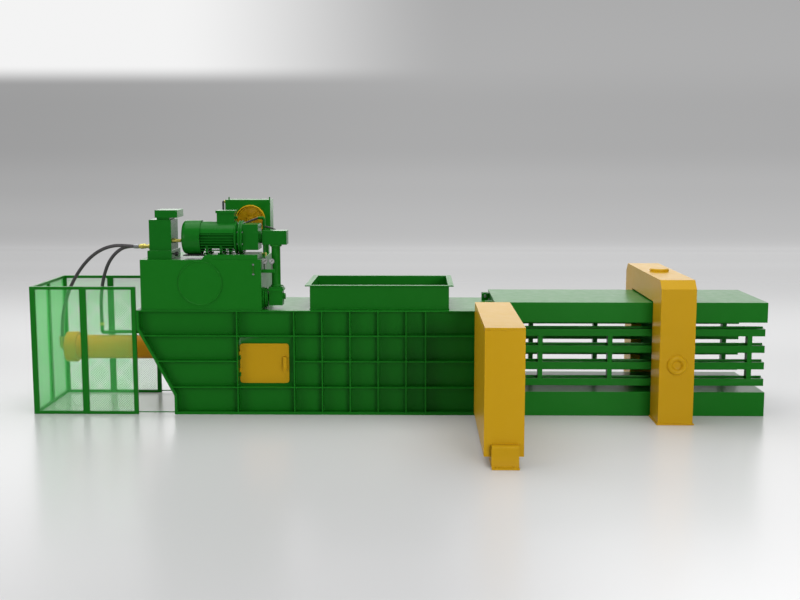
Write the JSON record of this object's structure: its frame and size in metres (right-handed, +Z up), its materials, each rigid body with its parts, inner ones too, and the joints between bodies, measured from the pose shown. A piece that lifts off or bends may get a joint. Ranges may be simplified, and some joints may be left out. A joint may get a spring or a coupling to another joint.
{
  "type": "horizontal recycling baler",
  "caption": "Horizontal channel baler: ram in a ribbed press body, feed hopper, hydraulic power unit, wire-tying unit, slatted bale channel with a tension collar, and a mesh guard.",
  "frame": {"origin": "on the floor, under the middle of the whole machine's length and width", "axes": "+X from the guard cage to the bale outlet, +Y from the tying unit's side to the far side, +Z up"},
  "size_m": [8.6, 4.004, 2.522],
  "materials": {
    "green_paint": "satin",
    "yellow_paint": "satin",
    "orange_paint": "satin",
    "motor_green": "satin",
    "mesh_paint": "satin",
    "bare_steel": "brushed",
    "chromed_rod": "polished",
    "tool_steel": "ground",
    "hose_rubber": "matte",
    "zinc_steel": "plated",
    "black_plastic": "matte",
    "gauge_face": "satin"
  },
  "bodies": {
    "press": {"side_wall_near": "green_paint", "side_wall_far": "green_paint", "press_floor": "green_paint", "press_roof": "green_paint", "hinge_pins": "bare_steel", "cylinder_bulkhead": "green_paint", "fixed_shear_blade": "tool_steel", "feed_hopper": "green_paint", "door_hinge_brackets": "green_paint", "main_cylinder_barrel": "orange_paint", "main_cylinder_cap": "orange_paint", "main_cylinder_gland": "orange_paint", "cylinder_ports": "orange_paint", "bottom_plate": "green_paint", "tension_collar": "yellow_paint", "tension_cylinders": "yellow_paint", "tie_housing": "yellow_paint", "tie_lid": "yellow_paint", "tie_neck": "yellow_paint", "oil_tank": "green_paint", "tank_cleanout_cover": "green_paint", "tank_level_gauge": "bare_steel", "motor_base": "green_paint", "motor_housing": "motor_green", "motor_fan_cowl": "motor_green", "motor_terminal_box": "motor_green", "bell_housing": "green_paint", "hydraulic_pump": "green_paint", "suction_line": "green_paint", "gauge_manifold": "green_paint", "pressure_gauges": "gauge_face", "valve_manifold": "green_paint", "directional_valve": "motor_green", "hose_fittings": "zinc_steel", "pressure_line": "green_paint", "cooler_box": "green_paint", "cooler_fan_shroud": "yellow_paint", "cooler_hoses": "hose_rubber", "main_hose_cap_end": "hose_rubber", "main_hose_rod_end": "hose_rubber", "cage_frame": "green_paint", "cage_mesh": "mesh_paint"},
    "ram": {"ram_box": "green_paint", "ram_rod": "chromed_rod", "ram_shoes": "bare_steel", "ram_blade": "tool_steel"},
    "door": {"access_door": "yellow_paint"},
    "roof_plate": {"top_plate": "green_paint"},
    "slats_near": {"slat_wall_near": "green_paint"},
    "slats_far": {"slat_wall_far": "green_paint"},
    "rod_near": {"tension_rod_near": "chromed_rod"},
    "rod_far": {"tension_rod_far": "chromed_rod"},
    "rod_top": {"tension_rod_top": "chromed_rod"},
    "needles": {"needle_carriage": "bare_steel"},
    "rotor": {"motor_rotor": "tool_steel"},
    "fan": {"cooler_fan": "yellow_paint"},
    "pointer_1": {"gauge_needle_1": "black_plastic"},
    "pointer_2": {"gauge_needle_2": "black_plastic"},
    "knob": {"valve_knob": "black_plastic"}
  },
  "joints": [
    {"name": "ram_slide", "type": "slide", "parent": "press", "child": "ram", "axis": [1, 0, 0], "range_m": [0, 1.75]},
    {"name": "door_hinge", "type": "hinge", "parent": "press", "child": "door", "pos_m": [-1.86, 0.378, 0.6], "axis": [0, 0, -1], "range_deg": [0, 95]},
    {"name": "top_plate_tilt", "type": "hinge", "parent": "press", "child": "roof_plate", "pos_m": [1.08, 0.908, 1.29], "axis": [0, 1, 0], "range_deg": [0, 0.95]},
    {"name": "near_side_tilt", "type": "hinge", "parent": "press", "child": "slats_near", "pos_m": [1.175, 0.368, 0.69], "axis": [0, 0, 1], "range_deg": [0, 1]},
    {"name": "far_side_tilt", "type": "hinge", "parent": "press", "child": "slats_far", "pos_m": [1.175, 1.448, 0.69], "axis": [0, 0, -1], "range_deg": [0, 1]},
    {"name": "near_rod_slide", "type": "slide", "parent": "press", "child": "rod_near", "axis": [0, 1, 0], "range_m": [0, 0.036]},
    {"name": "far_rod_slide", "type": "slide", "parent": "press", "child": "rod_far", "axis": [0, -1, 0], "range_m": [0, 0.036]},
    {"name": "top_rod_slide", "type": "slide", "parent": "press", "child": "rod_top", "axis": [0, 0, -1], "range_m": [0, 0.036]},
    {"name": "needle_slide", "type": "slide", "parent": "press", "child": "needles", "axis": [0, 1, 0], "range_m": [0, 1.18]},
    {"name": "motor_spin", "type": "hinge", "parent": "press", "child": "rotor", "pos_m": [-2.104, 0.538, 2.08], "axis": [1, 0, 0], "continuous": true},
    {"name": "cooler_fan_spin", "type": "hinge", "parent": "press", "child": "fan", "pos_m": [-1.834, 1.288, 2.243], "axis": [0, 1, 0], "continuous": true},
    {"name": "pointer_1_turn", "type": "hinge", "parent": "press", "child": "pointer_1", "pos_m": [-1.55, 0.389, 1.81], "axis": [0, 1, 0], "range_deg": [0, 270]},
    {"name": "pointer_2_turn", "type": "hinge", "parent": "press", "child": "pointer_2", "pos_m": [-1.47, 0.389, 1.81], "axis": [0, 1, 0], "range_deg": [0, 270]},
    {"name": "knob_turn", "type": "hinge", "parent": "press", "child": "knob", "pos_m": [-2.6, 0.428, 1.892], "axis": [1, 0, 0], "range_deg": [0, 300]}
  ],
  "couplings": [
    {"joint": "near_rod_slide", "follows": "near_side_tilt", "m_per_rad": 1.9875},
    {"joint": "far_rod_slide", "follows": "far_side_tilt", "m_per_rad": 1.9875},
    {"joint": "top_rod_slide", "follows": "top_plate_tilt", "m_per_rad": 2.0825}
  ]
}
